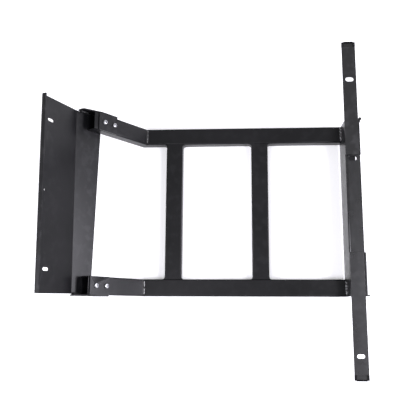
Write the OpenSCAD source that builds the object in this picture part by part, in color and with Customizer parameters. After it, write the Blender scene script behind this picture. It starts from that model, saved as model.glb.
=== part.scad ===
// Short rear door ladder for a van: two rungs between two rectangular tube rails,
// upper arms bent towards the van, a folded hook plate at the top and two slotted
// mounting bars on an angle at the foot. Millimetres. X runs to the right of a person
// who faces the van, Y towards the van, Z up the rails. The modules count X from the
// middle of the ladder and Y from the flange's van side face, with Z = 0 on the bars'
// centre line. placed() then moves the origin to the middle of the left bar's face.

/* [Ladder] */
// outside width over the two rails
ladder_w = 410; // [300:1:600]
// wide side of the rectangular tube
tube_w = 40; // [25:1:60]
// depth of the rectangular tube
tube_d = 25; // [15:1:40]
// wall of the tube
tube_wall = 2; // [1.5:0.1:3]
// outer corner radius of the tube
tube_r = 3; // [2:0.5:5]
// height from the angle's top face to the centre of the lower rung
lower_rung_h = 198; // [120:1:320]
// distance between the rung centres
rung_pitch = 208; // [150:1:320]
// distance from the upper rung's centre to the bend of the rails
rung_to_bend = 69; // [40:1:150]
// radius of the ground weld in each corner between rung and rail
corner_r = 5; // [2:0.5:10]

/* [Upper arms] */
// angle between rail and upper arm
arm_bend = 55; // [20:1:80]
// length of an upper arm along its front face
arm_len = 168; // [100:1:260]

/* [Hook plate] */
// thickness of the folded sheet
plate_t = 3; // [2:0.5:5]
// distance along the arm from the bend to the first fold of the plate
plate_fold_s = 195.5; // [170:0.5:260]
// turn of the plate in its flange's plane, up at the left, for a sloping door edge
plate_turn = 1.2; // [0:0.1:3]
// flange width at the left end
flange_left_w = 72; // [40:1:84]
// flange width at the right end
flange_right_w = 51.5; // [40:0.5:80]
// first fold, from flange to web
web_fold = 15; // [5:1:60]
// web width between the folds
web_w = 114; // [60:1:180]
// height of the upstanding lip
lip_h = 10; // [6:1:30]
// inner radius of the folds
fold_r = 3; // [1:0.5:8]
// distance between the slots in the web
web_slot_pitch = 310; // [150:1:380]
// slot length in the web
web_slot_len = 20; // [10:1:30]
// slot width in the web
web_slot_w = 7; // [5:0.5:9.5]
// distance of the slots from the lip
web_slot_from_lip = 29; // [20:1:60]
// small hole in the middle of the web
web_hole_d = 5; // [3:0.5:10]
// how much nearer to the lip the small hole is than the slots
web_hole_shift = 12; // [0:1:18]
// how far the small hole lies to the left of the plate's middle
web_hole_left = 5; // [0:1:40]

/* [Brackets] */
// thickness of the bracket sheet
bracket_t = 3; // [2:0.5:5]
// start of the left bracket along the arm, from the bend
bracket_s0 = 103; // [80:1:120]
// how much further up its arm the right bracket starts
right_bracket_up = 8; // [0:1:12]
// end of the side plates along the arm
bracket_end = 193; // [180:1:220]
// corner cut at the bracket's start
bracket_cut = 6; // [2:1:12]
// slant of the side plate's front edge
tip_slant = 17; // [10:1:30]
// radius of the side plate's far corner
tip_r = 8; // [4:0.5:12]
// length of the bracket's front plate
bracket_front_len = 54; // [46:1:56]
// distance of the first bolt from the bracket's start
bolt_in = 8.5; // [7:0.5:12]
// distance between the two bracket bolts
bolt_pitch = 29; // [20:1:32]
// thread size of the bracket bolts
bolt_d = 8; // [6:1:12]
// round head diameter of the bracket bolts
bolt_head_d = 13; // [10:0.5:14]
// head height of the bracket bolts
bolt_head_h = 4.5; // [3:0.5:8]

/* [Foot angle] */
// how far the flange stands in front of the rails
stand_off = 47; // [20:1:100]
// thickness of the angle
angle_t = 3; // [2:0.5:6]
// width of the angle's flange between the guide lips
flange_w = 34; // [33:1:60]
// outer radius of the angle's fold
angle_r = 6; // [4:0.5:10]
// height of the guide lips beside the bars
guide_h = 4; // [2:0.5:8]
// thickness of the left guide lip, down from the bar
left_lip_t = 2; // [1:0.5:5]
// thickness of the right guide lip, down from the bar
right_lip_t = 3; // [1:0.5:5]
// gap between the left bar and its guide lip
left_lip_gap = 0.5; // [0.2:0.1:1.5]
// gap between the right bar and its guide lip
right_lip_gap = 1.5; // [0.2:0.1:2]
// length of the left guide lip, from the ladder's outer side inwards
left_lip_len = 84; // [40:1:140]
// length of the right guide lip, from the ladder's outer side inwards
right_lip_len = 98; // [40:1:140]
// radius of the round tab at the left guide lip's outer end
tab_r = 3.6; // [2.5:0.1:5]
// height of the left gusset
left_gusset_h = 38; // [30:1:60]
// height of the right gusset
right_gusset_h = 43; // [30:1:60]
// depth of the gussets behind the flange
gusset_d = 34; // [15:1:45]
// width left at the gussets' lower toe
gusset_toe = 10; // [5:1:20]

/* [Mounting bars] */
// length of one mounting bar
bar_len = 277; // [200:1:400]
// width of a mounting bar
bar_w = 32; // [25:1:50]
// thickness of a mounting bar
bar_t = 4; // [3:0.5:6]
// slot centre from the bar's outer end, left bar
left_slot_in = 92; // [30:1:150]
// slot centre from the bar's outer end, right bar
right_slot_in = 49; // [30:1:150]
// slot length in the left bar
left_slot_len = 19; // [14:0.5:26]
// slot width in the left bar
left_slot_w = 11; // [7:0.5:13]
// slot length in the right bar
right_slot_len = 17.5; // [14:0.5:26]
// slot width in the right bar
right_slot_w = 9; // [7:0.5:13]
// slot length in the flange
flange_slot_len = 19; // [14:0.5:24]
// slot width in the flange
flange_slot_w = 12; // [7:0.5:13]
// flange slot centre from the ladder's outer side
flange_slot_in = 92; // [80:1:120]
// length of the plastic end caps
cap_len = 12; // [11.5:0.5:20]
// width of the window in a cap's face
cap_window = 22; // [10:1:23]

/* [Hidden] */
$fn = 48;
rail_x = ladder_w / 2 - tube_w / 2;
rail_front = -stand_off;
rail_back = rail_front - tube_d;
angle_top = bar_w / 2;
flange_low = angle_top - flange_w;
plate_gap = 0.2 + max(flange_left_w, flange_right_w) * sin(plate_turn);
plate_len = ladder_w - 2 * plate_gap;
lower_rung_z = angle_top + lower_rung_h;
upper_rung_z = lower_rung_z + rung_pitch;
bend_z = upper_rung_z + rung_to_bend;
rung_x = ladder_w / 2 - tube_w;
left_lip_top = -bar_w / 2 - left_lip_gap;
right_lip_top = -bar_w / 2 - right_lip_gap;
tab_out = 2.5;
bolt_hole_d = bolt_d + 0.5;
stud_d = 8;
stud_in = [20, 65];
stud_x = [for (d = stud_in) ladder_w / 2 - d];
stud_hole_d = stud_d + 0.6;
head_rim = 1.2;
insert_d = 11.5;
insert_len = 11;
bolt_past = 3;
strip_t = 5;
strip_z0 = -7;
strip_z1 = 9;
strip_len = 99;
strip_gap = 4;
strip_out = ladder_w / 2 - angle_t - strip_gap;
strip_in = strip_out - strip_len;
left_inner = ladder_w / 2 - left_lip_len;
right_inner = ladder_w / 2 - right_lip_len;
flange_slot_x = ladder_w / 2 - flange_slot_in;
nut_h = 6.5;
nut_d = 15;
tongue_w = 25;
tongue_len = 10;
tongue_t = bar_t - 1;
cap_wall = 1;
cap_nose = 1.5;
weld = 3.5;
side_dir = [-1, 1];

// outline of the tube, centred
module round_rect(w, d, r) {
    square([w - 2 * r, d], center = true);
    square([w, d - 2 * r], center = true);
    for (i = [-1, 1], j = [-1, 1])
        translate([i * (w / 2 - r), j * (d / 2 - r)]) circle(r = r);
}

// tube along Z with its front face on Y = 0
module tube(w, d, length) {
    translate([0, -d / 2, 0]) linear_extrude(length) difference() {
        round_rect(w, d, tube_r);
        round_rect(w - 2 * tube_wall, d - 2 * tube_wall, tube_r - tube_wall);
    }
}

// half space above the mitre plane of the bend
module above_mitre() {
    translate([-tube_w, -3 * tube_d, 0]) cube([2 * tube_w, 6 * tube_d, 4 * tube_d]);
}

// from the ladder's own middle to the row's origin on the left bar's face
module placed() {
    translate([left_inner + (bar_len - tongue_len) / 2, -bar_t, 0]) children();
}

module rail(side) {
    difference() {
        translate([side * rail_x, rail_front, angle_top])
            tube(tube_w, tube_d, bend_z - angle_top + tube_d);
        translate([side * rail_x, rail_front, bend_z]) rotate([-arm_bend / 2, 0, 0])
            above_mitre();
    }
}

// frame of an upper arm: local Z runs up the arm, local Y is the front face's normal
module arm_frame() {
    translate([0, rail_front, bend_z]) rotate([-arm_bend, 0, 0]) children();
}

// start of a bracket and places of its bolts along the arm
function bracket_start(side) = bracket_s0 + (side < 0 ? 0 : right_bracket_up);
function bolt_s(side) = [for (i = [0, 1]) bracket_start(side) + bolt_in + i * bolt_pitch];

module upper_arm(side) {
    difference() {
        arm_frame() translate([side * rail_x, 0, -tube_d]) difference() {
            tube(tube_w, tube_d, arm_len + tube_d);
            for (s = bolt_s(side)) translate([0, 0, s + tube_d]) rotate([90, 0, 0])
                translate([0, 0, -1]) cylinder(d = bolt_hole_d, h = tube_wall + 3);
        }
        translate([side * rail_x, rail_front, bend_z]) rotate([-arm_bend / 2, 0, 0])
            mirror([0, 0, 1]) above_mitre();
    }
}

// quarter shaped weld filling in the corner between rung and rail
module corner_fill(side, up) {
    translate([side * rung_x, rail_front, up * tube_w / 2]) rotate([90, 0, 0])
        linear_extrude(tube_d) difference() {
            translate([side < 0 ? 0 : -corner_r, up < 0 ? -corner_r : -tube_wall / 2])
                square([corner_r, corner_r + tube_wall / 2]);
            translate([-side * corner_r, up * corner_r]) circle(r = corner_r);
        }
}

module rung(z) {
    translate([0, 0, z]) {
        translate([-rung_x, rail_front, 0]) rotate([0, 90, 0]) tube(tube_w, tube_d, 2 * rung_x);
        for (side = side_dir, up = side_dir) corner_fill(side, up);
    }
}

// slot through a plate that lies in the X-Z plane, long along Z
module slot_z(length, width, depth) {
    rotate([90, 0, 0]) translate([0, 0, -depth / 2]) linear_extrude(depth) {
        square([width, length - width], center = true);
        for (i = [-1, 1]) translate([0, i * (length - width) / 2]) circle(d = width);
    }
}

// section of a fold in a sheet: from the -X side of its centre round towards +Y
module fold_section(r, t, angle) {
    far = 2 * (r + t);
    intersection() {
        difference() {
            circle(r = r + t);
            circle(r = r);
        }
        polygon([[0, 0], [-far, 0], [-far, far * tan(angle / 2)], [-far * cos(angle), far * sin(angle)]]);
    }
}

// lay a Y-Z section along X, centred
module along_x(length) {
    rotate([90, 0, 90]) translate([0, 0, -length / 2]) linear_extrude(length) children();
}

// guide lip along the bar's lower edge, from the ladder's side to its inner end
module guide_lip(side) {
    inner = side < 0 ? left_inner : right_inner;
    top = side < 0 ? left_lip_top : right_lip_top;
    low = top - (side < 0 ? left_lip_t : right_lip_t);
    root = min(low, flange_low);
    translate([side < 0 ? -ladder_w / 2 : inner, -angle_t, root])
        cube([ladder_w / 2 - inner, angle_t, top - root]);
    translate([side < 0 ? -ladder_w / 2 : inner, 0, low])
        cube([ladder_w / 2 - inner, guide_h, top - low]);
}

// round tab that ends the left guide lip
module lip_tab() {
    x = -ladder_w / 2 - tab_out;
    translate([x, guide_h, left_lip_top - tab_r]) rotate([90, 0, 0])
        cylinder(r = tab_r, h = guide_h + angle_t);
    translate([x, -angle_t, left_lip_top - left_lip_t]) cube([2 * tab_out, angle_t + guide_h, left_lip_t]);
}

module cross_angle() {
    difference() {
        union() {
            along_x(ladder_w) {
                translate([rail_back, angle_top - angle_t]) square([-rail_back - angle_r, angle_t]);
                translate([-angle_r, angle_top - angle_r]) mirror([1, 0])
                    fold_section(angle_r - angle_t, angle_t, 90);
                translate([-angle_t, flange_low]) square([angle_t, flange_w - angle_r]);
            }
            for (side = side_dir) guide_lip(side);
            lip_tab();
        }
        for (side = side_dir) {
            translate([side * flange_slot_x, -angle_t / 2, 0])
                slot_z(flange_slot_len, flange_slot_w, 2 * angle_t);
            for (x = stud_x) translate([side * x, 1, 0]) rotate([90, 0, 0])
                cylinder(d = stud_hole_d, h = angle_t + 2);
        }
    }
}

module gusset(side) {
    x0 = side < 0 ? -ladder_w / 2 : ladder_w / 2 - angle_t;
    low = angle_top - (side < 0 ? left_gusset_h : right_gusset_h);
    translate([x0, 0, 0]) rotate([90, 0, 90]) linear_extrude(angle_t) difference() {
        polygon([[-angle_t, low], [-angle_t, angle_top - angle_t],
            [-angle_t - gusset_d, angle_top - angle_t], [-angle_t - gusset_toe, low]]);
        translate([-angle_r, angle_top - angle_r]) square(angle_r);
    }
}

module mount_bar(side) {
    inner = side < 0 ? left_inner : right_inner;
    slot = side < 0 ? [left_slot_in, left_slot_len, left_slot_w]
        : [right_slot_in, right_slot_len, right_slot_w];
    full = bar_len - tongue_len;
    difference() {
        union() {
            translate([side < 0 ? -inner - full : inner, 0, -bar_w / 2]) cube([full, bar_t, bar_w]);
            translate([side < 0 ? -inner - bar_len : inner + full, 0, -tongue_w / 2])
                cube([tongue_len, tongue_t, tongue_w]);
        }
        translate([side * (inner + bar_len - slot[0]), bar_t / 2, 0]) slot_z(slot[1], slot[2], 2 * bar_t);
    }
    for (x = stud_x) translate([side * x, 0, 0]) rotate([90, 0, 0])
        cylinder(d = stud_d, h = angle_t + strip_t + nut_h + 2);
}

module clamp_strip(side) {
    difference() {
        translate([side < 0 ? -strip_out : strip_in, -angle_t - strip_t, strip_z0])
            cube([strip_out - strip_in, strip_t, strip_z1 - strip_z0]);
        for (x = stud_x) translate([side * x, 0, 0]) rotate([90, 0, 0])
            cylinder(d = stud_hole_d, h = angle_t + strip_t + 1);
    }
}

module bar_nuts(side) {
    for (x = stud_x) translate([side * x, -angle_t - strip_t, 0]) rotate([90, 0, 0]) difference() {
        cylinder(d = nut_d, h = nut_h, $fn = 6);
        translate([0, 0, -1]) cylinder(d = stud_d + 0.2, h = nut_h + 2);
    }
}

module end_cap(side) {
    inner = side < 0 ? left_inner : right_inner;
    tip = inner + bar_len - tongue_len;
    mirror([side < 0 ? 1 : 0, 0, 0]) difference() {
        union() {
            translate([tip, -cap_wall, -bar_w / 2]) cube([cap_len, bar_t + 2 * cap_wall, bar_w]);
            translate([tip + cap_len, -cap_wall, -tongue_w / 2 + cap_wall])
                cube([cap_nose, bar_t + 2 * cap_wall, tongue_w - 2 * cap_wall]);
        }
        translate([tip - 1, 0, -tongue_w / 2]) cube([tongue_len + 1, tongue_t, tongue_w]);
        // the window shows the bar's tongue
        translate([tip - 1, tongue_t - 1, -cap_window / 2])
            cube([tongue_len + 1, bar_t + 2 * cap_wall, cap_window]);
    }
}

// section of the hook plate in the web's frame: flange, small fold, web, fold, lip
module plate_section() {
    long = flange_left_w + flange_right_w;
    turn = [0 : web_fold / 3 : web_fold];
    back = [for (a = turn) [fold_r - (fold_r + plate_t) * cos(a), -(fold_r + plate_t) * sin(a)]];
    face = [for (a = turn) [fold_r - fold_r * cos(a), -fold_r * sin(a)]];
    run = [long * sin(web_fold), -long * cos(web_fold)];
    last = len(back) - 1;
    polygon(concat([[0, web_w - fold_r], [-plate_t, web_w - fold_r]], back,
        [back[last] + run, face[last] + run], [for (i = [last : -1 : 0]) face[i]]));
    translate([fold_r, web_w - fold_r]) {
        fold_section(fold_r, plate_t, 90);
        translate([0, fold_r]) square([lip_h - fold_r, plate_t]);
    }
}

// frame of the plate's flange, which lies on the backs of the arms; its Z = 0 is the first fold
module plate_frame() {
    arm_frame() translate([0, -tube_d, plate_fold_s]) rotate([0, plate_turn, 0]) children();
}

// frame at the start of the web, after the first fold
module web_frame() {
    plate_frame() translate([0, fold_r, 0]) rotate([-web_fold, 0, 0]) translate([0, -fold_r, 0]) children();
}

module hook_plate() {
    half = plate_len / 2;
    slope = (flange_left_w - flange_right_w) / plate_len;
    over = 5;
    far = -2 * (flange_left_w + flange_right_w);
    difference() {
        web_frame() along_x(plate_len) plate_section();
        // the flange narrows from left to right
        plate_frame() translate([0, over, 0]) rotate([90, 0, 0])
            linear_extrude(plate_t + 2 * over) polygon([
                [-half - over, -flange_left_w - over * slope],
                [half + over, -flange_right_w + over * slope], [half + over, far], [-half - over, far]]);
        web_frame() for (side = side_dir)
            translate([side * web_slot_pitch / 2, -plate_t / 2, web_w - web_slot_from_lip])
                slot_z(web_slot_len, web_slot_w, 3 * plate_t);
        web_frame() translate([-web_hole_left, 1, web_w - web_slot_from_lip + web_hole_shift])
            rotate([90, 0, 0]) cylinder(d = web_hole_d, h = plate_t + 2);
    }
}

// front plate on the arm and side plate that holds the end of the hook plate's flange
module bracket(side) {
    start = bracket_start(side);
    depth = plate_t + tube_d + bracket_t;
    tip_centre = [plate_t + tip_r, bracket_end - tip_r];
    tip = [for (a = [tip_slant : (90 - tip_slant) / 5 : 90.1]) tip_centre + tip_r * [cos(a), sin(a)]];
    arm_frame() {
        translate([side < 0 ? -ladder_w / 2 : ladder_w / 2 - tube_w, 0, start]) difference() {
            cube([tube_w, bracket_t, bracket_front_len]);
            for (s = bolt_s(side)) translate([tube_w / 2, bracket_t + 1, s - start]) rotate([90, 0, 0])
                cylinder(d = bolt_hole_d, h = bracket_t + 2);
        }
        translate([side < 0 ? -ladder_w / 2 - bracket_t : ladder_w / 2, -tube_d - plate_t, 0])
            rotate([90, 0, 90]) linear_extrude(bracket_t)
                polygon(concat([[0, start + bracket_cut], [bracket_cut, start], [depth, start],
                    [depth, tip[0][1] - (depth - tip[0][0]) / tan(tip_slant)]], tip, [[0, bracket_end]]));
    }
}

module bracket_bolts(side) {
    for (s = bolt_s(side)) arm_frame() translate([side * rail_x, bracket_t, s]) rotate([90, 0, 0]) {
        translate([0, 0, -head_rim]) cylinder(d = bolt_head_d, h = head_rim);
        translate([0, 0, -bolt_head_h])
            cylinder(d1 = bolt_head_d * 0.6, d2 = bolt_head_d, h = bolt_head_h - head_rim);
        cylinder(d = bolt_d, h = bracket_t + tube_wall + insert_len + bolt_past);
        translate([0, 0, bracket_t + tube_wall]) cylinder(d = insert_d, h = insert_len);
    }
}

// bead in the hollow of the bend
module bend_weld(side) {
    reach = 6 * weld;
    difference() {
        translate([side * rail_x - tube_w / 2 + tube_r, rail_front, bend_z]) rotate([0, 90, 0])
            cylinder(r = weld * 0.7, h = tube_w - 2 * tube_r);
        for (up = [-reach, 0]) translate([side * rail_x - tube_w, rail_front - reach, bend_z + up])
            cube([2 * tube_w, reach, reach]);
        arm_frame() translate([side * rail_x - tube_w, -reach, 0]) cube([2 * tube_w, reach, reach]);
    }
}

// bead along the front of the rail's foot
module foot_weld(side) {
    translate([side * rail_x - tube_w / 2 + tube_r, rail_front, angle_top]) rotate([90, 0, 90])
        linear_extrude(tube_w - 2 * tube_r) polygon([[0, 0], [weld, 0], [0, weld]]);
}

color("#1c1d1f") placed() rail(-1);  // left_rail
color("#1c1d1f") placed() rail(1);  // right_rail
color("#1c1d1f") placed() upper_arm(-1);  // left_upper_arm
color("#1c1d1f") placed() upper_arm(1);  // right_upper_arm
color("#1c1d1f") placed() rung(upper_rung_z);  // upper_rung
color("#1c1d1f") placed() rung(lower_rung_z);  // lower_rung
color("#1c1d1f") placed() cross_angle();
color("#1c1d1f") placed() gusset(-1);  // left_gusset
color("#1c1d1f") placed() gusset(1);  // right_gusset
color("#1c1d1f") placed() mount_bar(-1);  // left_mount_bar
color("#1c1d1f") placed() mount_bar(1);  // right_mount_bar
color("#1c1d1f") placed() clamp_strip(-1);  // left_clamp_strip
color("#1c1d1f") placed() clamp_strip(1);  // right_clamp_strip
color("#b8babd") placed() bar_nuts(-1);  // left_bar_nuts
color("#b8babd") placed() bar_nuts(1);  // right_bar_nuts
color("#101010") placed() end_cap(-1);  // left_end_cap
color("#101010") placed() end_cap(1);  // right_end_cap
color("#1c1d1f") placed() hook_plate();
color("#1c1d1f") placed() bracket(-1);  // left_bracket
color("#1c1d1f") placed() bracket(1);  // right_bracket
color("#b8babd") placed() bracket_bolts(-1);  // left_bracket_bolts
color("#b8babd") placed() bracket_bolts(1);  // right_bracket_bolts
color("#1c1d1f") placed() bend_weld(-1);  // left_bend_weld
color("#1c1d1f") placed() bend_weld(1);  // right_bend_weld
color("#1c1d1f") placed() foot_weld(-1);  // left_foot_weld
color("#1c1d1f") placed() foot_weld(1);  // right_foot_weld
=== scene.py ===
"""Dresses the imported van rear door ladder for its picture: finishes, weld beads, bolts, nuts and caps."""

import logging
import math
from dataclasses import dataclass, field
from enum import Enum

import bmesh
import bpy
from mathutils import Matrix, Vector, noise


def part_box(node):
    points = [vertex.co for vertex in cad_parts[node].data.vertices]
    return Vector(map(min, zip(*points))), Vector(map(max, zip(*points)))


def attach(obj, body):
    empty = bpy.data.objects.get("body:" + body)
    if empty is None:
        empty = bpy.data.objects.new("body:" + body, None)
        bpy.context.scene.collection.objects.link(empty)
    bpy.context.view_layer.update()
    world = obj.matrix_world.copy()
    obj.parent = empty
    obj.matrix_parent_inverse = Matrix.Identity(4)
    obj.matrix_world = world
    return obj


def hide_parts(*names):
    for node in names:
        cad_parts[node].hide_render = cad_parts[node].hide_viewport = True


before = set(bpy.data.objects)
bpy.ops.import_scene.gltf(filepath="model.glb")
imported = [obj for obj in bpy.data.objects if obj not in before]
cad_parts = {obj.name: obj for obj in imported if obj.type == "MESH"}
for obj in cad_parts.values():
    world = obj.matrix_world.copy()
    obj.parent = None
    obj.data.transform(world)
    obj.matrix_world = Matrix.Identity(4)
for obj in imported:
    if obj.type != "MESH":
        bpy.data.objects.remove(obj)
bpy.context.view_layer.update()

MM = 0.001
BODY = "root"
LOG = logging.getLogger("ladder")

DOUBLE_POINTS = 0.02 * MM
FLAT_WITHIN = math.radians(0.5)
SOFTENED_ABOVE = math.radians(32)
SHARP_ABOVE = math.radians(38)


class Side(Enum):
    """The two sides of the ladder, with their sign along X."""

    LEFT = -1
    RIGHT = 1

    @property
    def word(self) -> str:
        """The side's word in node names."""
        return self.name.lower()


class Slot(Enum):
    """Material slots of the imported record."""

    COAT = "powder_coat"
    ZINC = "zinc_steel"
    PLASTIC = "black_plastic"


# Shader node groups


class NodeTree:
    """Small helper that adds and joins nodes in one tree."""

    def __init__(self, tree: bpy.types.NodeTree) -> None:
        """Keeps the tree.

        Args:
            tree: the node tree that the helper adds to.
        """
        self.tree = tree

    def add(self, kind: str, **settings: object) -> bpy.types.Node:
        """Adds a node and sets its plain properties.

        Args:
            kind: Blender's class name of the node.
            settings: properties of the node by name.

        Returns:
            The new node.
        """
        node = self.tree.nodes.new(kind)
        for name, value in settings.items():
            setattr(node, name, value)
        return node

    def join(self, out: bpy.types.NodeSocket, into: bpy.types.NodeSocket) -> None:
        """Links two sockets."""
        self.tree.links.new(out, into)

    def feed(self, socket: bpy.types.NodeSocket, source: object) -> None:
        """Links a socket to another, or sets it to a value.

        Args:
            socket: the input that is fed.
            source: an output socket, a number or a tuple.
        """
        if isinstance(source, bpy.types.NodeSocket):
            self.join(source, socket)
        else:
            socket.default_value = source

    def math(
        self, operation: str, a: object, b: object = 0.0, clamp: bool = False
    ) -> bpy.types.NodeSocket:
        """Adds a Math node.

        Args:
            operation: the Math node's operation.
            a: first value or socket.
            b: second value or socket.
            clamp: whether the result is kept from 0 to 1.

        Returns:
            The node's output.
        """
        node = self.add("ShaderNodeMath", operation=operation, use_clamp=clamp)
        self.feed(node.inputs[0], a)
        self.feed(node.inputs[1], b)
        return node.outputs[0]

    def ramp(self, value: bpy.types.NodeSocket, low: float, high: float) -> bpy.types.NodeSocket:
        """Maps a value smoothly to 0 below low and 1 above high.

        Args:
            value: the socket to map.
            low: value that becomes 0.
            high: value that becomes 1.

        Returns:
            The mapped value.
        """
        node = self.add("ShaderNodeMapRange", interpolation_type="SMOOTHSTEP")
        self.join(value, node.inputs["Value"])
        node.inputs["From Min"].default_value = low
        node.inputs["From Max"].default_value = high
        return node.outputs["Result"]

    def bump(
        self, height: bpy.types.NodeSocket, strength: float, distance: float, shader: bpy.types.Node
    ) -> None:
        """Adds a Bump node that roughens a shader's normal.

        Args:
            height: the height that makes the relief.
            strength: the bump's strength.
            distance: the relief's depth in metres.
            shader: the shader that gets the normal.
        """
        node = self.add("ShaderNodeBump")
        node.inputs["Strength"].default_value = strength
        node.inputs["Distance"].default_value = distance
        self.join(height, node.inputs["Height"])
        self.join(node.outputs["Normal"], shader.inputs["Normal"])

    def noise(
        self, vector: bpy.types.NodeSocket, scale: object, detail: float = 2.0
    ) -> bpy.types.NodeSocket:
        """Adds a Noise Texture node and gives its Factor output.

        Args:
            vector: the coordinates.
            scale: the noise's scale, a number or socket.
            detail: the noise's detail.

        Returns:
            The noise value.
        """
        node = self.add("ShaderNodeTexNoise")
        self.join(vector, node.inputs["Vector"])
        self.feed(node.inputs["Scale"], scale)
        node.inputs["Detail"].default_value = detail
        return node.outputs[0]

    def mix(self, factor: object, a: object, b: object) -> bpy.types.NodeSocket:
        """Mixes two colours.

        Args:
            factor: share of the second colour.
            a: first colour.
            b: second colour.

        Returns:
            The mixed colour.
        """
        node = self.add("ShaderNodeMix", data_type="RGBA")
        self.feed(node.inputs[0], factor)
        self.feed(node.inputs[6], a)
        self.feed(node.inputs[7], b)
        return node.outputs[2]


def new_group(
    name: str, inputs: dict[str, float], outputs: dict[str, str]
) -> tuple[NodeTree, bpy.types.NodeOutputs, bpy.types.NodeInputs]:
    """Makes an empty shader node group with named sockets.

    Args:
        name: the group's name.
        inputs: float inputs by name, with their first values.
        outputs: outputs by name, each "Float", "Color" or "Vector".

    Returns:
        The tree helper, the group's inputs as outputs of its input node, and the inputs of its output node.
    """
    tree = bpy.data.node_groups.new(name, "ShaderNodeTree")
    for key, value in inputs.items():
        socket = tree.interface.new_socket(key, in_out="INPUT", socket_type="NodeSocketFloat")
        socket.default_value = value
    for key, kind in outputs.items():
        tree.interface.new_socket(key, in_out="OUTPUT", socket_type="NodeSocket" + kind)
    helper = NodeTree(tree)
    start, end = helper.add("NodeGroupInput"), helper.add("NodeGroupOutput")
    return helper, start.outputs, end.inputs


class SharedGroups:
    """The node groups that more than one finish uses, each built once."""

    def __init__(self) -> None:
        """Builds every group."""
        self.orange_peel = self.build_orange_peel()
        self.edge_rub_and_highlight = self.build_edge_rub_and_highlight()
        self.dust = self.build_dust()
        self.brushed = self.build_brushed()

    @staticmethod
    def build_orange_peel() -> bpy.types.NodeTree:
        """Builds the fine stipple of a powder coat: a height, a tone and a gloss that vary over the surface.

        Returns:
            The group, with outputs Height, Tone and Gloss.
        """
        coarse_scale, fine_share, coarse_share = 0.22, 0.7, 0.5
        tone_low, tone_high = 0.30, 0.72
        smear_scale, smear_low, smear_high = 4.3, 0.32, 0.70
        t, given, out = new_group(
            "coat stipple",
            {"Grain": 2200.0, "Cloud": 9.0},
            {"Height": "Float", "Tone": "Float", "Gloss": "Float"},
        )
        place = t.add("ShaderNodeTexCoord").outputs["Object"]
        fine = t.math("MULTIPLY", t.noise(place, given["Grain"], 3.0), fine_share)
        coarse = t.noise(place, t.math("MULTIPLY", given["Grain"], coarse_scale), 2.0)
        t.join(t.math("ADD", fine, t.math("MULTIPLY", coarse, coarse_share)), out["Height"])
        cloud = t.noise(place, given["Cloud"], 4.0)
        t.join(t.ramp(cloud, tone_low, tone_high), out["Tone"])
        smear = t.noise(place, t.math("MULTIPLY", given["Cloud"], smear_scale), 3.0)
        t.join(t.ramp(smear, smear_low, smear_high), out["Gloss"])
        return t.tree

    @staticmethod
    def build_edge_rub_and_highlight() -> bpy.types.NodeTree:
        """Builds a mask of sharp edges and ridges, broken up so that it isn't an even line; it lightens them
        as a painted highlight, partly also as wear of the coat.

        Returns:
            The group, with output Mask.
        """
        steepness, patch_low, patch_high = 14.0, 0.46, 0.66
        t, given, out = new_group("edge rub and painted highlight", {"Reach": 0.53, "Break": 60.0}, {"Mask": "Float"})
        bend = t.add("ShaderNodeNewGeometry").outputs["Pointiness"]
        place = t.add("ShaderNodeTexCoord").outputs["Object"]
        edge = t.math("MULTIPLY", t.math("SUBTRACT", bend, given["Reach"]), steepness, clamp=True)
        patch = t.ramp(t.noise(place, given["Break"], 4.0), patch_low, patch_high)
        t.join(t.math("MULTIPLY", edge, patch, clamp=True), out["Mask"])
        return t.tree

    @staticmethod
    def build_dust() -> bpy.types.NodeTree:
        """Builds a thin veil of dust specks.

        Returns:
            The group, with output Mask.
        """
        speck_core, speck_rim = 0.05, 0.16
        patch_scale, patch_low, patch_high = 24.0, 0.52, 0.75
        t, given, out = new_group("dust specks", {"Amount": 0.5, "Size": 900.0}, {"Mask": "Float"})
        place = t.add("ShaderNodeTexCoord").outputs["Object"]
        speck = t.add("ShaderNodeTexVoronoi", feature="F1")
        t.join(place, speck.inputs["Vector"])
        t.join(given["Size"], speck.inputs["Scale"])
        near = t.math("SUBTRACT", 1.0, t.ramp(speck.outputs["Distance"], speck_core, speck_rim))
        patch = t.ramp(t.noise(place, patch_scale, 3.0), patch_low, patch_high)
        specks = t.math("MULTIPLY", near, patch)
        t.join(t.math("MULTIPLY", specks, given["Amount"], clamp=True), out["Mask"])
        return t.tree

    @staticmethod
    def build_brushed() -> bpy.types.NodeTree:
        """Builds the fine drawn grain and spangle of a zinc surface.

        Returns:
            The group, with outputs Height and Tone.
        """
        drawn_out, spangle_scale, spangle_low, spangle_high = 0.15, 700.0, 0.1, 0.9
        t, given, out = new_group("zinc grain", {"Grain": 3000.0}, {"Height": "Float", "Tone": "Float"})
        place = t.add("ShaderNodeTexCoord").outputs["Object"]
        stretch = t.add("ShaderNodeMapping")
        t.join(place, stretch.inputs["Vector"])
        stretch.inputs["Scale"].default_value = (1.0, drawn_out, 1.0)
        t.join(t.noise(stretch.outputs["Vector"], given["Grain"], 2.0), out["Height"])
        spangle = t.add("ShaderNodeTexVoronoi", feature="F1")
        t.join(place, spangle.inputs["Vector"])
        spangle.inputs["Scale"].default_value = spangle_scale
        t.join(t.ramp(spangle.outputs["Distance"], spangle_low, spangle_high), out["Tone"])
        return t.tree


def place_group(t: NodeTree, group: bpy.types.NodeTree, **values: float) -> bpy.types.Node:
    """Places a shared group in a material.

    Args:
        t: the material's tree helper.
        group: the shared group.
        values: the group's inputs by name.

    Returns:
        The group node.
    """
    node = t.add("ShaderNodeGroup", node_tree=group)
    for name, value in values.items():
        node.inputs[name].default_value = value
    return node


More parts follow.
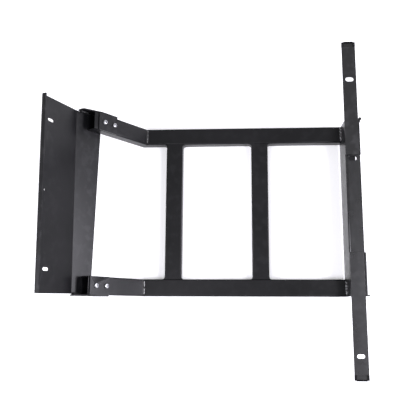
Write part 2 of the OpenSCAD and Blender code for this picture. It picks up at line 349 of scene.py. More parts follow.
def new_material(name: str) -> tuple[bpy.types.Material, NodeTree, bpy.types.Node]:
    """Makes a material with an empty Principled shader.

    Args:
        name: the material's name.

    Returns:
        The material, its tree helper and its shader node.
    """
    material = bpy.data.materials.new(name)
    material.use_nodes = True
    material.node_tree.nodes.clear()
    t = NodeTree(material.node_tree)
    shader, out = t.add("ShaderNodeBsdfPrincipled"), t.add("ShaderNodeOutputMaterial")
    t.join(shader.outputs["BSDF"], out.inputs["Surface"])
    return material, t, shader


@dataclass(frozen=True)
class PowderCoat:
    """Satin black powder coat on steel, with a fine stipple and sharp edges lightened in patches: painted
    highlight, partly also wear from handling.
    """

    name: str = "satin black coat"
    dark: tuple[float, float, float, float] = (0.0034, 0.0034, 0.0042, 1.0)
    light: tuple[float, float, float, float] = (0.0060, 0.0059, 0.0070, 1.0)
    # painted highlight on sharp edges and ridges, partly also wear of the coat
    rubbed_and_highlit: tuple[float, float, float, float] = (0.045, 0.045, 0.048, 1.0)
    dusty: tuple[float, float, float, float] = (0.12, 0.12, 0.12, 1.0)
    rough_low: float = 0.31
    rough_high: float = 0.345
    gloss: float = 0.17
    stipple: float = 0.10
    stipple_depth: float = 0.3 * MM
    grain: float = 2200.0
    cloud: float = 9.0
    rub_and_highlight_reach: float = 0.53
    rub_and_highlight_break: float = 55.0
    rub_and_highlight_share: float = 0.5
    dust_amount: float = 0.06
    dust_size: float = 800.0
    dust_rough: float = 0.3

    def build(self, groups: SharedGroups) -> bpy.types.Material:
        """Builds the material.

        Args:
            groups: the shared node groups.

        Returns:
            The material.
        """
        material, t, shader = new_material(self.name)
        peel = place_group(t, groups.orange_peel, Grain=self.grain, Cloud=self.cloud)
        rub_and_highlight = place_group(t, groups.edge_rub_and_highlight, Reach=self.rub_and_highlight_reach, Break=self.rub_and_highlight_break)
        dust = place_group(t, groups.dust, Amount=self.dust_amount, Size=self.dust_size)
        base = t.mix(peel.outputs["Tone"], self.dark, self.light)
        # lightens sharp edges and ridges: painted highlight, partly also wear of the coat
        worn_and_highlit = t.mix(t.math("MULTIPLY", rub_and_highlight.outputs["Mask"], self.rub_and_highlight_share), base, self.rubbed_and_highlit)
        t.join(t.mix(dust.outputs["Mask"], worn_and_highlit, self.dusty), shader.inputs["Base Color"])
        spread = t.math("MULTIPLY", peel.outputs["Gloss"], self.rough_high - self.rough_low)
        rough = t.math("ADD", spread, self.rough_low)
        dulled = t.math("MULTIPLY", dust.outputs["Mask"], self.dust_rough)
        t.join(t.math("ADD", rough, dulled), shader.inputs["Roughness"])
        shader.inputs["Specular IOR Level"].default_value = self.gloss
        t.bump(peel.outputs["Height"], self.stipple, self.stipple_depth, shader)
        return material


@dataclass(frozen=True)
class ZincSteel:
    """Bright zinc plated steel of the bolts and nuts."""

    name: str = "bright zinc"
    bright: tuple[float, float, float, float] = (0.42, 0.42, 0.44, 1.0)
    dull: tuple[float, float, float, float] = (0.22, 0.22, 0.24, 1.0)
    grime: tuple[float, float, float, float] = (0.10, 0.10, 0.10, 1.0)
    grain: float = 2600.0
    grain_strength: float = 0.05
    grain_depth: float = 0.1 * MM
    rough_low: float = 0.20
    rough_spread: float = 0.14
    grime_amount: float = 0.8
    grime_size: float = 1500.0
    grime_dulls: float = 0.6

    def build(self, groups: SharedGroups) -> bpy.types.Material:
        """Builds the material.

        Args:
            groups: the shared node groups.

        Returns:
            The material.
        """
        material, t, shader = new_material(self.name)
        grain = place_group(t, groups.brushed, Grain=self.grain)
        dirt = place_group(t, groups.dust, Amount=self.grime_amount, Size=self.grime_size)
        base = t.mix(grain.outputs["Tone"], self.bright, self.dull)
        t.join(t.mix(dirt.outputs["Mask"], base, self.grime), shader.inputs["Base Color"])
        spread = t.math("MULTIPLY", grain.outputs["Tone"], self.rough_spread)
        t.join(t.math("ADD", spread, self.rough_low), shader.inputs["Roughness"])
        metal = t.math("SUBTRACT", 1.0, t.math("MULTIPLY", dirt.outputs["Mask"], self.grime_dulls))
        t.join(metal, shader.inputs["Metallic"])
        t.bump(grain.outputs["Height"], self.grain_strength, self.grain_depth, shader)
        return material


@dataclass(frozen=True)
class CapPlastic:
    """Moulded black plastic of the bars' end caps."""

    name: str = "moulded black plastic"
    dark: tuple[float, float, float, float] = (0.006, 0.006, 0.0065, 1.0)
    light: tuple[float, float, float, float] = (0.011, 0.011, 0.0115, 1.0)
    # painted highlight on the cap's sharp edges and ridges, partly also wear
    rubbed_and_highlit: tuple[float, float, float, float] = (0.03, 0.03, 0.031, 1.0)
    gloss: float = 0.05
    rough_low: float = 0.42
    rough_spread: float = 0.12
    grain: float = 3800.0
    grain_strength: float = 0.12
    grain_depth: float = 0.2 * MM
    cloud: float = 40.0
    rub_and_highlight_reach: float = 0.54
    rub_and_highlight_break: float = 120.0

    def build(self, groups: SharedGroups) -> bpy.types.Material:
        """Builds the material.

        Args:
            groups: the shared node groups.

        Returns:
            The material.
        """
        material, t, shader = new_material(self.name)
        grain = place_group(t, groups.orange_peel, Grain=self.grain, Cloud=self.cloud)
        rub_and_highlight = place_group(t, groups.edge_rub_and_highlight, Reach=self.rub_and_highlight_reach, Break=self.rub_and_highlight_break)
        base = t.mix(grain.outputs["Tone"], self.dark, self.light)
        # lightens the cap's sharp edges and ridges: painted highlight, partly also wear
        t.join(t.mix(rub_and_highlight.outputs["Mask"], base, self.rubbed_and_highlit), shader.inputs["Base Color"])
        spread = t.math("MULTIPLY", grain.outputs["Gloss"], self.rough_spread)
        t.join(t.math("ADD", spread, self.rough_low), shader.inputs["Roughness"])
        shader.inputs["Specular IOR Level"].default_value = self.gloss
        t.bump(grain.outputs["Height"], self.grain_strength, self.grain_depth, shader)
        return material


class Finishes:
    """Every finish of the ladder, built once: one for each slot, and two smoother kinds of the coat."""

    def __init__(self) -> None:
        """Builds the shared groups and the five materials."""
        groups = SharedGroups()
        self.by_slot: dict[Slot, bpy.types.Material] = {
            Slot.COAT: PowderCoat().build(groups),
            Slot.ZINC: ZincSteel().build(groups),
            Slot.PLASTIC: CapPlastic().build(groups),
        }
        self.smooth_coat = PowderCoat(
            name="smooth black coat", rough_low=0.27, rough_high=0.33, gloss=0.38, stipple=0.05
        ).build(groups)
        self.bead_coat = PowderCoat(
            name="glossy black coat", rough_low=0.16, rough_high=0.22, gloss=0.60, stipple=0.04
        ).build(groups)

    def dress(self, piece: bpy.types.Object, slot: Slot) -> None:
        """Gives a piece the finish of its slot.

        Args:
            piece: the mesh object.
            slot: the record's slot.
        """
        self.lay_on(piece, self.by_slot[slot])

    def dress_smooth(self, piece: bpy.types.Object) -> None:
        """Gives a bar or the foot's angle its smoother coat."""
        self.lay_on(piece, self.smooth_coat)

    def dress_bead(self, piece: bpy.types.Object) -> None:
        """Gives a weld bead its glossier coat."""
        self.lay_on(piece, self.bead_coat)

    @staticmethod
    def lay_on(piece: bpy.types.Object, material: bpy.types.Material) -> None:
        """Makes a material the only one of a piece."""
        piece.data.materials.clear()
        piece.data.materials.append(material)


# Mesh helpers


def soften(piece: bpy.types.Object, width: float) -> None:
    """Rounds the sharp edges of a piece a little, as its coat does.

    Args:
        piece: the mesh object.
        width: width of the rounding in metres.
    """
    weld = piece.modifiers.new("join doubles", "WELD")
    weld.merge_threshold = DOUBLE_POINTS
    flat = piece.modifiers.new("whole flat faces", "DECIMATE")
    flat.decimate_type = "DISSOLVE"
    flat.angle_limit = FLAT_WITHIN
    bevel = piece.modifiers.new("soft edges", "BEVEL")
    bevel.width = width
    bevel.segments = 2
    bevel.limit_method = "ANGLE"
    bevel.angle_limit = SOFTENED_ABOVE
    bevel.use_clamp_overlap = True
    bevel.harden_normals = True
    bevel.miter_outer = "MITER_ARC"


def object_from(bm: bmesh.types.BMesh, name: str) -> bpy.types.Object:
    """Makes a smoothly shaded object in the scene from a bmesh, and frees the bmesh.

    Args:
        bm: the bmesh, in metres in the row frame.
        name: the object's name.

    Returns:
        The object.
    """
    bmesh.ops.recalc_face_normals(bm, faces=bm.faces[:])
    mesh = bpy.data.meshes.new(name)
    bm.to_mesh(mesh)
    bm.free()
    mesh.polygons.foreach_set("use_smooth", [True] * len(mesh.polygons))
    mesh.set_sharp_from_angle(angle=SHARP_ABOVE)
    piece = bpy.data.objects.new(name, mesh)
    bpy.context.scene.collection.objects.link(piece)
    return piece


def ring_point(place: Matrix, index: int, steps: int, radius: float, height: float) -> Vector:
    """Gives a point of a ring round the local Z axis.

    Args:
        place: where local Z goes.
        index: which step of the ring.
        steps: points round the axis.
        radius: distance from the axis.
        height: height along the axis.

    Returns:
        The point.
    """
    a = 2 * math.pi * index / steps
    return place @ Vector((radius * math.cos(a), radius * math.sin(a), height))


def hexagon_radius(index: int, steps: int, flat: float) -> float:
    """Gives the distance from a hexagon's middle to its outline.

    Args:
        index: which step round the axis.
        steps: points round the axis.
        flat: distance from the middle to a flat.

    Returns:
        The distance.
    """
    a = (2 * math.pi * index / steps) % (math.pi / 3) - math.pi / 6
    return flat / math.cos(a)


def add_ring(
    bm: bmesh.types.BMesh, place: Matrix, height: float, radii: list[float]
) -> list[bmesh.types.BMVert]:
    """Adds a ring of points round the local Z axis.

    Args:
        bm: the bmesh that is added to.
        place: where local Z goes.
        height: height along the axis.
        radii: a radius for each step.

    Returns:
        The ring's vertices.
    """
    steps = len(radii)
    return [bm.verts.new(ring_point(place, i, steps, radius, height)) for i, radius in enumerate(radii)]


def join_rings(bm: bmesh.types.BMesh, rings: list[list[bmesh.types.BMVert]]) -> None:
    """Adds the faces between each ring of points and the next one.

    Args:
        bm: the bmesh that is added to.
        rings: rings of equally many points.
    """
    for low, high in zip(rings, rings[1:]):
        for i in range(len(low)):
            j = (i + 1) % len(low)
            bm.faces.new((low[i], low[j], high[j], high[i]))


def turned(bm: bmesh.types.BMesh, profile: list[tuple[float, float]], steps: int, place: Matrix) -> None:
    """Adds a closed solid of revolution to a bmesh.

    Args:
        bm: the bmesh that is added to.
        profile: points (radius, height) from the axis at one end to the axis at the other.
        steps: points round the axis.
        place: where local Z, the axis, goes.
    """
    rings: list[list[bmesh.types.BMVert]] = []
    for radius, height in profile:
        if radius == 0:
            rings.append([bm.verts.new(place @ Vector((0, 0, height)))])
            continue
        rings.append(add_ring(bm, place, height, [radius] * steps))
    for low, high in zip(rings, rings[1:]):
        for i in range(steps):
            j = (i + 1) % steps
            if len(low) == 1:
                bm.faces.new((low[0], high[i], high[j]))
            elif len(high) == 1:
                bm.faces.new((low[i], low[j], high[0]))
            else:
                bm.faces.new((low[i], low[j], high[j], high[i]))


@dataclass(frozen=True)
class Bead:
    """A fillet weld bead with its row of ripples, between two faces that meet in a corner.

    Start and end are points of the corner, up and out are unit vectors along the two faces, leg is the
    bead's leg length, ripple the length of one ripple, and seed a number that varies the ripples. Trough,
    crest, tip, wander, flank and belly are shares of the leg length, and lean is a share of the ripple.
    """

    start: Vector
    end: Vector
    up: Vector
    out: Vector
    leg: float
    seed: int
    ripple: float
    arc: int = 7
    steps_per_ripple: int = 5
    least_steps: int = 6
    trough: float = 0.86
    crest: float = 0.14
    crest_power: float = 0.6
    tip: float = 0.35
    tip_rise: float = 6.0
    wander: float = 0.09
    wander_scale: float = 90.0
    seed_step: float = 7.3
    lean: float = 0.35
    flank: float = 0.72
    belly: float = 0.16
    fullness: float = 0.80

    def add_to(self, bm: bmesh.types.BMesh) -> None:
        """Adds the bead to a bmesh.

        Args:
            bm: the bmesh that is added to.
        """
        length = (self.end - self.start).length
        count = max(self.least_steps, round(length / (self.ripple / self.steps_per_ripple)))
        rings = [[bm.verts.new(point) for point in self.outline(i / count)] for i in range(count + 1)]
        join_rings(bm, rings)
        bm.faces.new(rings[0])
        bm.faces.new(list(reversed(rings[-1])))

    def outline(self, t: float) -> list[Vector]:
        """Gives the bead's cross-section at one place.

        Args:
            t: share of the way from start to end.

        Returns:
            The corner's point, then the points of the bead's face from one leg to the other.
        """
        along = self.end - self.start
        phase = (t * along.length / self.ripple) % 1.0
        radius = self.radius(t, along.length, phase)
        points = [self.start + along * t]
        for k in range(self.arc + 1):
            a = math.pi / 2 * k / self.arc
            bulge = self.flank + self.belly * math.sin(2 * a)
            edge = 1.0 if k in (0, self.arc) else bulge / self.fullness
            back = along.normalized() * (-(self.ripple * self.lean) * math.sin(2 * a) * phase)
            face = (self.up * math.cos(a) + self.out * math.sin(a)) * radius * edge
            points.append(self.start + along * t + face + back)
        return points

    def radius(self, t: float, length: float, phase: float) -> float:
        """Gives the bead's size at one place.

        Args:
            t: share of the way from start to end.
            length: the bead's length.
            phase: share of the way through its ripple.

        Returns:
            The distance from the corner to the bead's legs.
        """
        swell = self.trough + self.crest * math.sin(math.pi * phase) ** self.crest_power
        taper = min(1.0, self.tip + self.tip_rise * min(t, 1 - t))
        spot = Vector((self.seed * self.seed_step, t * length * self.wander_scale, 0.0))
        return self.leg * swell * taper * (1.0 + self.wander * noise.noise(spot))


def mount_piece(piece: bpy.types.Object, slot: Slot, finishes: Finishes, *nodes: str) -> None:
    """Dresses a new piece, fixes it to the body and hides the CAD nodes that it stands for.

    Args:
        piece: the new mesh object.
        slot: the record's slot.
        finishes: the built finishes.
        nodes: CAD nodes that it replaces.
    """
    finishes.dress(piece, slot)
    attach(piece, BODY)
    if nodes:
        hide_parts(*nodes)
    LOG.info("built %s with %d faces", piece.name, len(piece.data.polygons))


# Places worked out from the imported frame


@dataclass
class Places:
    """Points and directions that several sub-assemblies share, from the CAD nodes' boxes."""

    arm_bend: float = math.radians(55)
    tube_w: float = 40 * MM
    tube_d: float = 25 * MM
    middle: float = field(init=False)
    rail_front: float = field(init=False)
    rail_back: float = field(init=False)
    angle_top: float = field(init=False)
    half_width: float = field(init=False)
    bend: Vector = field(init=False)

    def __post_init__(self) -> None:
        """Reads the boxes of the rails."""
        left_low, left_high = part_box("left_rail")
        _, right_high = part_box("right_rail")
        self.middle = (left_low.x + right_high.x) / 2
        self.rail_front = left_high.y
        self.rail_back = left_low.y
        self.angle_top = left_low.z
        self.half_width = (right_high.x - left_low.x) / 2
        rise = self.tube_d * math.tan(self.arm_bend / 2)
        self.bend = Vector((self.middle, self.rail_front, left_high.z - rise))

    def rail_x(self, side: Side) -> float:
        """Middle of a rail along X."""
        return self.middle + side.value * (self.half_width - self.tube_w / 2)

    def arm(self, x: float, front: float, along: float) -> Vector:
        """Turns arm coordinates into a point of the row frame.

        Args:
            x: place along X from the ladder's middle.
            front: distance from the arm's front face, outwards.
            along: distance along the arm from the bend.

        Returns:
            The point.
        """
        c, s = math.cos(self.arm_bend), math.sin(self.arm_bend)
        return self.bend + Vector((x, front * c + along * s, -front * s + along * c))

    @property
    def arm_normal(self) -> Vector:
        """Outward normal of the arms' front face."""
        return Vector((0, math.cos(self.arm_bend), -math.sin(self.arm_bend)))

    @property
    def arm_direction(self) -> Vector:
        """Direction up along the arms."""
        return Vector((0, math.sin(self.arm_bend), math.cos(self.arm_bend)))


# Sub-assemblies


@dataclass
class CoatedSteel:
    """The CAD nodes that keep their own shape: tubes, plates and bars, their edges softened by the coat."""

    tube_edge: float = 0.35 * MM
    plate_edge: float = 0.35 * MM
    tubes: tuple[str, ...] = (
        "left_rail", "right_rail", "left_upper_arm", "right_upper_arm", "upper_rung", "lower_rung",
    )
    plates: tuple[str, ...] = (
        "cross_angle", "left_gusset", "right_gusset", "left_mount_bar", "right_mount_bar", "left_clamp_strip",
        "right_clamp_strip", "hook_plate", "left_bracket", "right_bracket",
    )
    smooth: tuple[str, ...] = ("left_mount_bar", "right_mount_bar", "cross_angle")

    def build(self, finishes: Finishes) -> None:
        """Softens and dresses the nodes.

        Args:
            finishes: the built finishes.
        """
        for names, width in ((self.tubes, self.tube_edge), (self.plates, self.plate_edge)):
            for name in names:
                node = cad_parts[name]
                if name in self.smooth:
                    finishes.dress_smooth(node)
                else:
                    finishes.dress(node, Slot.COAT)
                soften(node, width)
                LOG.info("dressed %s", name)


@dataclass
class WeldBeads:
    """The visible weld beads at the bends, at the rails' feet and beside the hook plate's flange."""

    places: Places
    foot_size: float = 4.8 * MM
    foot_ripple: float = 7.4 * MM
    bend_size: float = 2.7 * MM
    bend_ripple: float = 3.4 * MM
    flange_size: float = 4.6 * MM
    flange_start: float = 168.4 * MM
    flange_end: float = 192.0 * MM
    edge: float = 3.0 * MM
    foot_seed: int = 3
    bend_seed: int = 11
    flange_seed: int = 21

    def build(self, finishes: Finishes) -> None:
        """Builds the beads of both sides.

        Args:
            finishes: the built finishes.
        """
        for side in Side:
            self.build_foot(side, finishes)
            self.build_bend(side, finishes)
            self.build_flange(side, finishes)

    def build_foot(self, side: Side, finishes: Finishes) -> None:
        """Builds the bead along the front of a rail's foot.

        Args:
            side: which rail.
            finishes: the built finishes.
        """
        p = self.places
        x, half = p.rail_x(side), p.tube_w / 2 - self.edge
        start, end = (Vector((x + reach, p.rail_front, p.angle_top)) for reach in (-half, half))
        up, out = Vector((0, 0, 1)), Vector((0, 1, 0))
        bm = bmesh.new()
        Bead(start, end, up, out, self.foot_size, self.foot_seed + side.value, self.foot_ripple).add_to(bm)
        piece = object_from(bm, f"{side.word}_foot_bead")
        mount_piece(piece, Slot.COAT, finishes, f"{side.word}_foot_weld")
        finishes.dress_bead(piece)

    def build_bend(self, side: Side, finishes: Finishes) -> None:
        """Builds the bead in the hollow of a rail's bend.

        Args:
            side: which rail.
            finishes: the built finishes.
        """
        p = self.places
        x, half = p.rail_x(side) - p.middle, p.tube_w / 2 - self.edge
        middle, down = p.bend + Vector((x, 0, 0)), Vector((0, 0, -1))
        bm = bmesh.new()
        for reach in (-1, 1):
            start, seed = middle + Vector((reach * half, 0, 0)), self.bend_seed + reach + side.value
            Bead(start, middle, down, p.arm_direction, self.bend_size, seed, self.bend_ripple).add_to(bm)
        piece = object_from(bm, f"{side.word}_bend_bead")
        mount_piece(piece, Slot.COAT, finishes, f"{side.word}_bend_weld")
        finishes.dress_bead(piece)

    def build_flange(self, side: Side, finishes: Finishes) -> None:
        """Builds the bead between an end of the hook plate's flange and its bracket's side plate.

        Args:
            side: which bracket.
            finishes: the built finishes.
        """
        p = self.places
        x, seed = side.value * p.half_width, self.flange_seed + side.value
        start, end = (p.arm(x, -p.tube_d, along) for along in (self.flange_start, self.flange_end))
        inwards = Vector((-side.value, 0, 0))
        bm = bmesh.new()
        Bead(start, end, p.arm_normal, inwards, self.flange_size, seed, self.bend_ripple).add_to(bm)
        mount_piece(object_from(bm, f"{side.word}_flange_bead"), Slot.COAT, finishes)


@dataclass
class BracketBolts:
    """Button head bolts with a hexagon socket, and the threaded inserts behind them.

    Crown, socket_edge and socket_tip_r are shares of the socket's radius, and thread_tip and thread_root
    are shares of the shank's. Shank_length and the insert's lengths count from the wall's inner face.
    """

    places: Places
    first: float = 111.5 * MM
    pitch: float = 29.0 * MM
    right_further: float = 8.0 * MM
    plate: float = 3.0 * MM
    wall: float = 2.0 * MM
    head_r: float = 5.7 * MM
    head_h: float = 4.0 * MM
    rim_h: float = 0.9 * MM
    dome_end: float = math.radians(78)
    dome_steps: int = 9
    crown: float = 1.35
    socket_edge: float = 1.25
    socket_r: float = 2.5 * MM
    socket_depth: float = 2.6 * MM
    socket_tip: float = 0.5 * MM
    socket_tip_r: float = 0.3
    shank_r: float = 4.0 * MM
    shank_length: float = 14.0 * MM
    shank_steps: int = 24
    thread_pitch: float = 1.25 * MM
    thread_tip: float = 0.82
    thread_root: float = 0.87
    insert_r: float = 5.7 * MM
    insert_tip_r: float = 5.2 * MM
    insert_length: float = 11.0 * MM
    insert_straight: float = 10.4 * MM
    insert_gap: float = 0.1 * MM
    steps: int = 48

    def build(self, finishes: Finishes) -> None:
        """Builds both pairs.

        Args:
            finishes: the built finishes.
        """
        for side in Side:
            bm = bmesh.new()
            start = self.first + (self.right_further if side is Side.RIGHT else 0.0)
            for along in (start, start + self.pitch):
                self.add_bolt(bm, side, along)
            piece = object_from(bm, f"{side.word}_button_bolts")
            mount_piece(piece, Slot.ZINC, finishes, f"{side.word}_bracket_bolts")

    def add_bolt(self, bm: bmesh.types.BMesh, side: Side, along: float) -> None:
        """Adds one bolt and its insert.

        Args:
            bm: the bmesh that is added to.
            side: which arm.
            along: distance along the arm.
        """
        p = self.places
        x = p.rail_x(side) - p.middle
        seat = p.arm(x, self.plate, along)
        place = Matrix.Translation(seat) @ p.arm_normal.to_track_quat("Z", "X").to_matrix().to_4x4()
        self.add_head(bm, place)
        length = self.plate + self.wall + self.shank_length
        turned(bm, self.thread_profile(length), self.shank_steps, place)
        back = -(self.plate + self.wall)
        turned(bm, [
            (0, back - self.insert_length),
            (self.insert_tip_r, back - self.insert_length),
            (self.insert_r, back - self.insert_straight),
            (self.insert_r, back - self.insert_gap),
            (0, back - self.insert_gap),
        ], self.shank_steps, place)

    def thread_profile(self, length: float) -> list[tuple[float, float]]:
        """Outline of the threaded shank, from its tip to the head.

        Args:
            length: length of the shank.

        Returns:
            Points (radius, height).
        """
        half = 0.5 * self.thread_pitch
        points = [(0.0, -length), (self.shank_r * self.thread_tip, -length)]
        height = -length + half
        while height < -self.plate:
            points += [(self.shank_r, height), (self.shank_r * self.thread_root, height + half)]
            height += self.thread_pitch
        points += [(self.shank_r, height), (self.shank_r, 0.0), (0.0, 0.0)]
        return points

    def dome_profile(self) -> list[tuple[float, float]]:
        """Outline of the head, from its seat over the rim to the socket's edge.

        Returns:
            Points (radius, height).
        """
        crown = self.socket_r * self.crown
        points = [(self.head_r, 0.0), (self.head_r, self.rim_h)]
        for i in range(1, self.dome_steps):
            a = self.dome_end * i / self.dome_steps
            radius = crown + (self.head_r - crown) * math.cos(a)
            points.append((radius, self.rim_h + (self.head_h - self.rim_h) * math.sin(a)))
        points.append((self.socket_r * self.socket_edge, self.head_h))
        return points

    def add_head(self, bm: bmesh.types.BMesh, place: Matrix) -> None:
        """Adds the domed head with a hexagon socket sunk in its top.

        Args:
            bm: the bmesh that is added to.
            place: the bolt's place.
        """
        flat = self.socket_r * math.cos(math.pi / 6)
        hexagon = [hexagon_radius(i, self.steps, flat) for i in range(self.steps)]
        floor_z = self.head_h - self.socket_depth
        rings = [add_ring(bm, place, height, [radius] * self.steps) for radius, height in self.dome_profile()]
        rings.append(add_ring(bm, place, self.head_h, hexagon))
        rings.append(add_ring(bm, place, floor_z, hexagon))
        tip = [self.socket_r * self.socket_tip_r] * self.steps
        rings.append(add_ring(bm, place, floor_z - self.socket_tip, tip))
        join_rings(bm, rings)
        bm.faces.new(list(reversed(rings[0])))
        bm.faces.new(rings[-1])


@dataclass
class BarNuts:
    """Hexagon nuts with chamfered corners on the bars' studs, behind the clamp strips.

    Face_r and corner_r limit a nut's reach at its ends and between them, as shares of half its width.
    """

    across: float = 13.0 * MM
    height: float = 6.5 * MM
    bore: float = 4.05 * MM
    chamfer: float = 0.9 * MM
    face_r: float = 0.93
    corner_r: float = 1.16
    steps: int = 48

    def build(self, finishes: Finishes) -> None:
        """Builds the nuts of both bars from the CAD nuts' places.

        Args:
            finishes: the built finishes.
        """
        for side in Side:
            name = f"{side.word}_bar_nuts"
            low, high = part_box(name)
            corner = self.across / math.sqrt(3)
            bm = bmesh.new()
            for x in (low.x + corner, high.x - corner):
                self.add_nut(bm, Vector((x, high.y, (low.z + high.z) / 2)))
            piece = object_from(bm, f"{side.word}_hexagon_nuts")
            mount_piece(piece, Slot.ZINC, finishes, name)

    def add_nut(self, bm: bmesh.types.BMesh, seat: Vector) -> None:
        """Adds one nut, with a washer face and a chamfer at both ends.

        Args:
            bm: the bmesh that is added to.
            seat: middle of the face that bears on the strip.
        """
        outwards = Vector((0, -1, 0))
        place = Matrix.Translation(seat) @ outwards.to_track_quat("Z", "X").to_matrix().to_4x4()
        flat = self.across / 2
        hexagon = [hexagon_radius(i, self.steps, flat) for i in range(self.steps)]
        levels = [
            (0.0, self.face_r), (self.chamfer, self.corner_r),
            (self.height - self.chamfer, self.corner_r), (self.height, self.face_r),
        ]
        rings = []
        for level, limit in levels:
            rings.append(add_ring(bm, place, level, [min(reach, flat * limit) for reach in hexagon]))
        for level in (self.height, 0.0):
            rings.append(add_ring(bm, place, level, [self.bore] * self.steps))
        join_rings(bm, rings + [rings[0]])


@dataclass
class EndCaps:
    """The bars' plastic end caps: the CAD caps, with their moulded edges rounded."""

    edge: float = 0.2 * MM

    def build(self, finishes: Finishes) -> None:
        """Rounds and dresses both caps.

        Args:
            finishes: the built finishes.
        """
        for side in Side:
            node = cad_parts[f"{side.word}_end_cap"]
            finishes.dress(node, Slot.PLASTIC)
            soften(node, self.edge)
            LOG.info("dressed %s", node.name)


# Studio


@dataclass(frozen=True)
class Lamp:
    """A soft rectangular lamp: its place from the point it is aimed at, its size in metres and its power."""

    name: str
    offset: tuple[float, float, float]
    size: tuple[float, float]
    power: float
    tint: tuple[float, float, float] = (1.0, 0.985, 1.08)

    def add(self, aim: Vector) -> None:
        """Adds the area lamp, with its width along X.

        Args:
            aim: the point that it is aimed at.
        """
        data = bpy.data.lights.new(self.name, "AREA")
        data.shape, data.energy, data.color = "RECTANGLE", self.power, self.tint
        data.size, data.size_y = self.size
        lamp = bpy.data.objects.new(self.name, data)
        bpy.context.scene.collection.objects.link(lamp)
        offset = Vector(self.offset)
        back = offset.normalized()
        across = (Vector((1, 0, 0)) - back * back.x).normalized()
        turn = Matrix((across, back.cross(across), back)).transposed().to_4x4()
        lamp.matrix_world = Matrix.Translation(aim + offset) @ turn


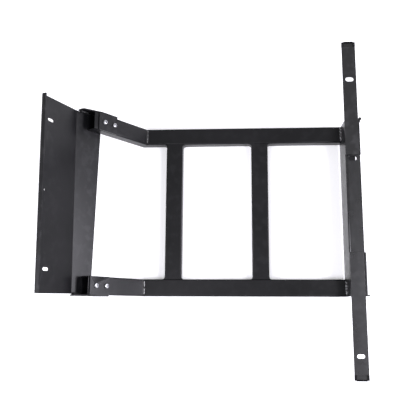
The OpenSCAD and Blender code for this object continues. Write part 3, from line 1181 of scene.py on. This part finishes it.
@dataclass
class Studio:
    """The white surface under the ladder, the soft lamps and the camera.

    Right, down and forward are the camera's axes. Ambient is the world's strength as light, and lift the
    surface's own glow inside lit_radius, which grows to full white at white_radius.
    """

    lens: float = 48.96
    sensor: float = 36.0
    clip: tuple[float, float] = (0.01, 50.0)
    eye: Vector = field(default_factory=lambda: Vector((0.4899, 1.2890, 0.2603)))
    right: Vector = field(default_factory=lambda: Vector((-0.00407, -0.05814, -0.9983)))
    down: Vector = field(default_factory=lambda: Vector((0.98426, -0.17659, 0.00627)))
    forward: Vector = field(default_factory=lambda: Vector((-0.17666, -0.98257, 0.05794)))
    ambient: float = 0.38
    lift: float = 0.25
    lit_radius: float = 0.9
    white_radius: float = 1.6
    reach: float = 4.0
    gap: float = 1.5 * MM
    middle_z: float = 0.35
    white: tuple[float, float, float, float] = (0.93, 0.93, 0.93, 1.0)
    aim_z: float = 0.33
    lamps: tuple[Lamp, ...] = (
        Lamp("low window", (0.06, 0.37, -1.50), (0.75, 0.30), 33.0),
        Lamp("high front lamp", (0.20, 1.42, -1.12), (1.0, 0.6), 18.0),
        Lamp("head side lamp", (0.42, 1.35, 1.35), (0.6, 0.7), 23.0),
        Lamp("camera side lamp", (0.60, 1.50, 0.42), (0.7, 0.9), 9.0),
    )

    def build(self, places: Places) -> None:
        """Builds the studio.

        Args:
            places: the shared places.
        """
        self.add_camera()
        self.add_surface(places)
        self.add_world()
        for lamp in self.lamps:
            lamp.add(Vector((places.middle, places.rail_front, self.aim_z)))

    def add_camera(self) -> None:
        """Adds the camera at the photograph's place."""
        data = bpy.data.cameras.new("camera")
        data.lens, data.sensor_width = self.lens, self.sensor
        data.clip_start, data.clip_end = self.clip
        camera = bpy.data.objects.new("camera", data)
        bpy.context.scene.collection.objects.link(camera)
        axes = Matrix((self.right, -self.down, -self.forward)).transposed().to_4x4()
        camera.matrix_world = Matrix.Translation(self.eye) @ axes
        bpy.context.scene.camera = camera

    def surface_material(self) -> bpy.types.Material:
        """Builds the white of the surface, which glows fully white away from the ladder.

        Returns:
            The material, clear from behind.
        """
        material = bpy.data.materials.new("white surface")
        material.use_nodes = True
        material.node_tree.nodes.clear()
        t = NodeTree(material.node_tree)
        out = t.add("ShaderNodeOutputMaterial")
        white = t.add("ShaderNodeBsdfDiffuse")
        white.inputs["Color"].default_value = self.white
        clear = t.add("ShaderNodeBsdfTransparent")
        glow = t.add("ShaderNodeEmission")
        distance = t.add("ShaderNodeVectorMath", operation="LENGTH")
        t.join(t.add("ShaderNodeTexCoord").outputs["Object"], distance.inputs[0])
        far = t.ramp(distance.outputs["Value"], self.lit_radius, self.white_radius)
        strength = t.math("ADD", self.lift, t.math("MULTIPLY", far, 1.0 - self.lift))
        t.join(t.math("MULTIPLY", self.seen_directly(t), strength), glow.inputs["Strength"])
        lit = t.add("ShaderNodeAddShader")
        t.join(white.outputs[0], lit.inputs[0])
        t.join(glow.outputs[0], lit.inputs[1])
        behind = t.add("ShaderNodeNewGeometry").outputs["Backfacing"]
        choose = t.add("ShaderNodeMixShader")
        t.join(behind, choose.inputs[0])
        t.join(lit.outputs[0], choose.inputs[1])
        t.join(clear.outputs[0], choose.inputs[2])
        t.join(choose.outputs[0], out.inputs["Surface"])
        return material

    def add_surface(self, places: Places) -> None:
        """Adds the white surface that the ladder lies on, which keeps its shadow.

        Args:
            places: the shared places.
        """
        material = self.surface_material()
        bm = bmesh.new()
        r, y = self.reach, places.rail_back - self.gap
        corners = [(-r, -r), (r, -r), (r, r), (-r, r)]
        face = bm.faces.new([bm.verts.new((places.middle + x, y, self.middle_z + z)) for x, z in corners])
        face.normal_update()
        if face.normal.y < 0:
            face.normal_flip()
        mesh = bpy.data.meshes.new("surface")
        bm.to_mesh(mesh)
        bm.free()
        surface = bpy.data.objects.new("surface", mesh)
        bpy.context.scene.collection.objects.link(surface)
        mesh.materials.append(material)

    @staticmethod
    def seen_directly(t: NodeTree) -> bpy.types.NodeSocket:
        """Gives 1 for rays from the camera, a gloss or a clear body, and 0 for rays that only carry light.

        Args:
            t: the material's or world's tree helper.

        Returns:
            The value.
        """
        path = t.add("ShaderNodeLightPath")
        sharp = t.math("MAXIMUM", path.outputs["Is Glossy Ray"], path.outputs["Is Transmission Ray"])
        return t.math("MAXIMUM", path.outputs["Is Camera Ray"], sharp)

    def add_world(self) -> None:
        """Adds a plain white world: full white where it is seen or mirrored, softer as light."""
        world = bpy.data.worlds.new("studio")
        world.use_nodes = True
        world.node_tree.nodes.clear()
        t = NodeTree(world.node_tree)
        back, out = t.add("ShaderNodeBackground"), t.add("ShaderNodeOutputWorld")
        strength = t.math("ADD", t.math("MULTIPLY", self.seen_directly(t), 1.0 - self.ambient), self.ambient)
        back.inputs["Color"].default_value = (1.0, 1.0, 1.0, 1.0)
        t.join(strength, back.inputs["Strength"])
        t.join(back.outputs[0], out.inputs["Surface"])
        bpy.context.scene.world = world


def main() -> None:
    """Builds and dresses every sub-assembly, then the studio round them."""
    logging.basicConfig(level=logging.INFO, format="%(name)s: %(message)s")
    bpy.context.scene.view_settings.view_transform = "Standard"
    finishes = Finishes()
    places = Places()
    CoatedSteel().build(finishes)
    WeldBeads(places).build(finishes)
    BracketBolts(places).build(finishes)
    BarNuts().build(finishes)
    EndCaps().build(finishes)
    Studio().build(places)


if __name__ == "__main__":
    main()
